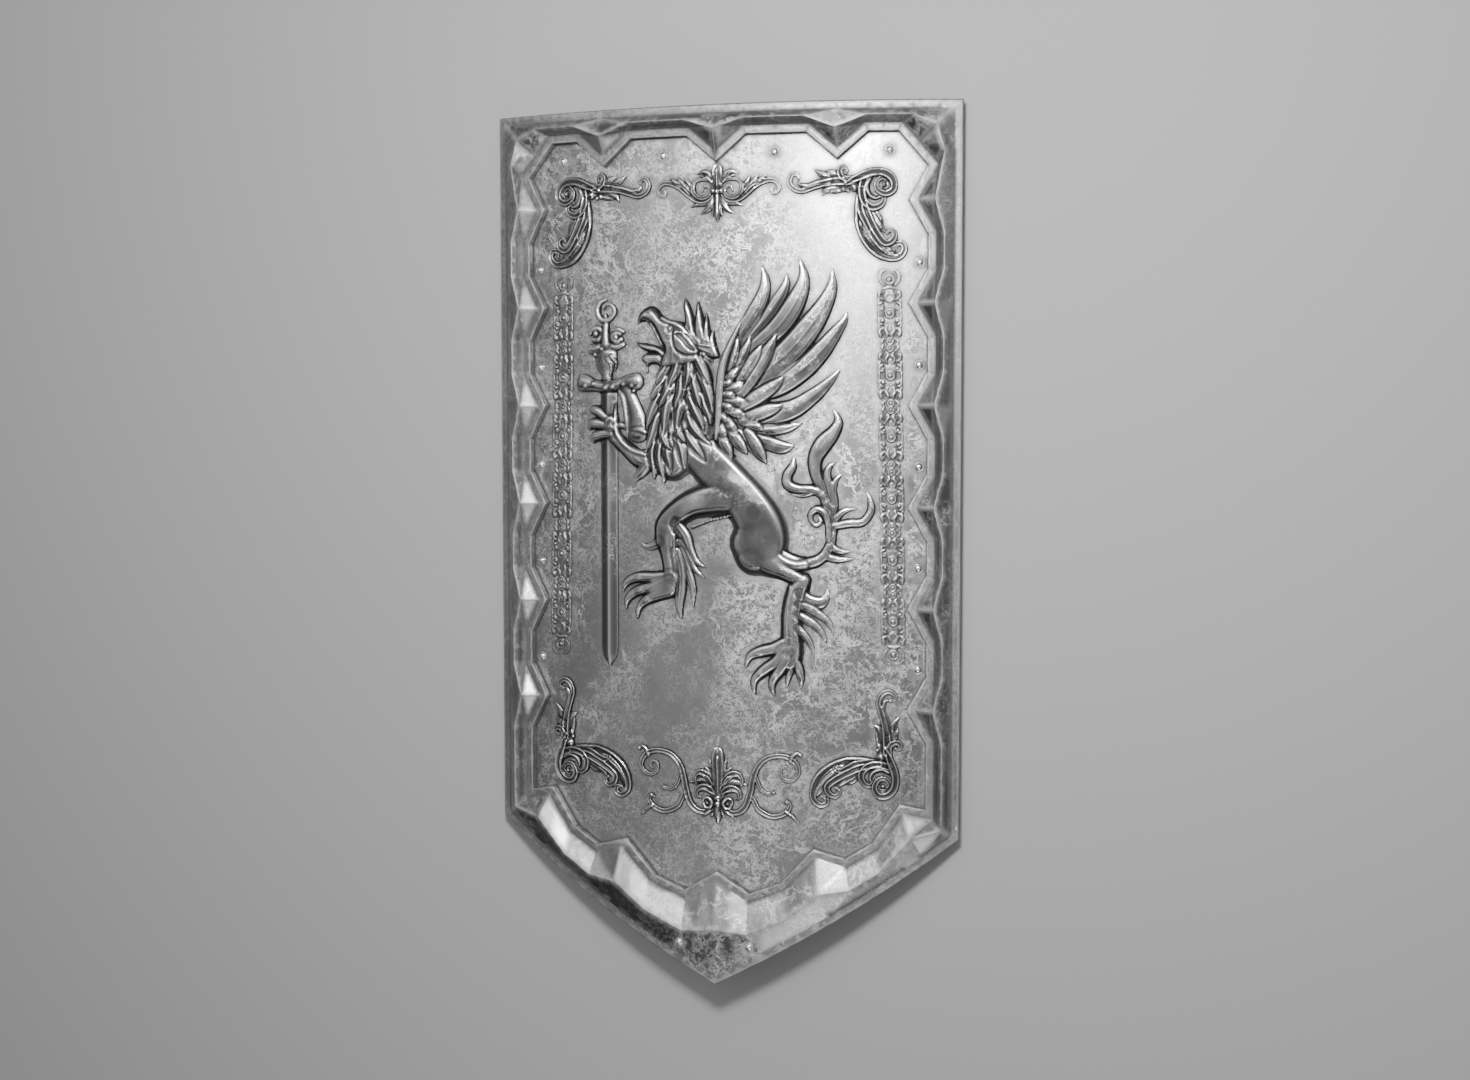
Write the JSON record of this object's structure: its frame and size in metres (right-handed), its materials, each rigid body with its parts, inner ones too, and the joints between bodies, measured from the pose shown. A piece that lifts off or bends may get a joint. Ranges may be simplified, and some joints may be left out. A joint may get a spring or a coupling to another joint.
{
  "type": "tower shield",
  "caption": "Curved steel tower shield with a notched border frame, domed rivets, scrolled corner ornaments and a rampant griffin holding a sword, with a hand grip behind.",
  "frame": {"origin": "centre of the lying shield on the ground, under the middle of its length and width", "axes": "+X across the face to its right as seen from the front, +Y up the shield from the point to the top edge, +Z out of the face"},
  "size_m": [0.6596, 1.2, 0.08],
  "materials": {
    "worn_steel": "worn bare steel with clouded scratches and dark dirt in the corners",
    "cast_steel": "dark cast steel rubbed bright on the high spots",
    "bright_steel": "polished steel",
    "forged_steel": "plain dark forged steel"
  },
  "bodies": {
    "root": {"border_frame": "worn_steel", "bottom_crest": "cast_steel", "corner_scroll_low_left": "cast_steel", "corner_scroll_low_right": "cast_steel", "corner_scroll_top_left": "cast_steel", "corner_scroll_top_right": "cast_steel", "griffin_with_sword": "cast_steel", "hand_grip": "forged_steel", "rivet_point_left": "bright_steel", "rivet_point_right": "bright_steel", "rivet_side_left_1": "bright_steel", "rivet_side_left_2": "bright_steel", "rivet_side_left_3": "bright_steel", "rivet_side_left_4": "bright_steel", "rivet_side_left_5": "bright_steel", "rivet_side_right_1": "bright_steel", "rivet_side_right_2": "bright_steel", "rivet_side_right_3": "bright_steel", "rivet_side_right_4": "bright_steel", "rivet_side_right_5": "bright_steel", "rivet_top_left_1": "bright_steel", "rivet_top_left_2": "bright_steel", "rivet_top_right_1": "bright_steel", "rivet_top_right_2": "bright_steel", "shield_plate": "worn_steel", "side_band_left": "cast_steel", "side_band_right": "cast_steel", "top_crest": "cast_steel"}
  },
  "joints": []
}
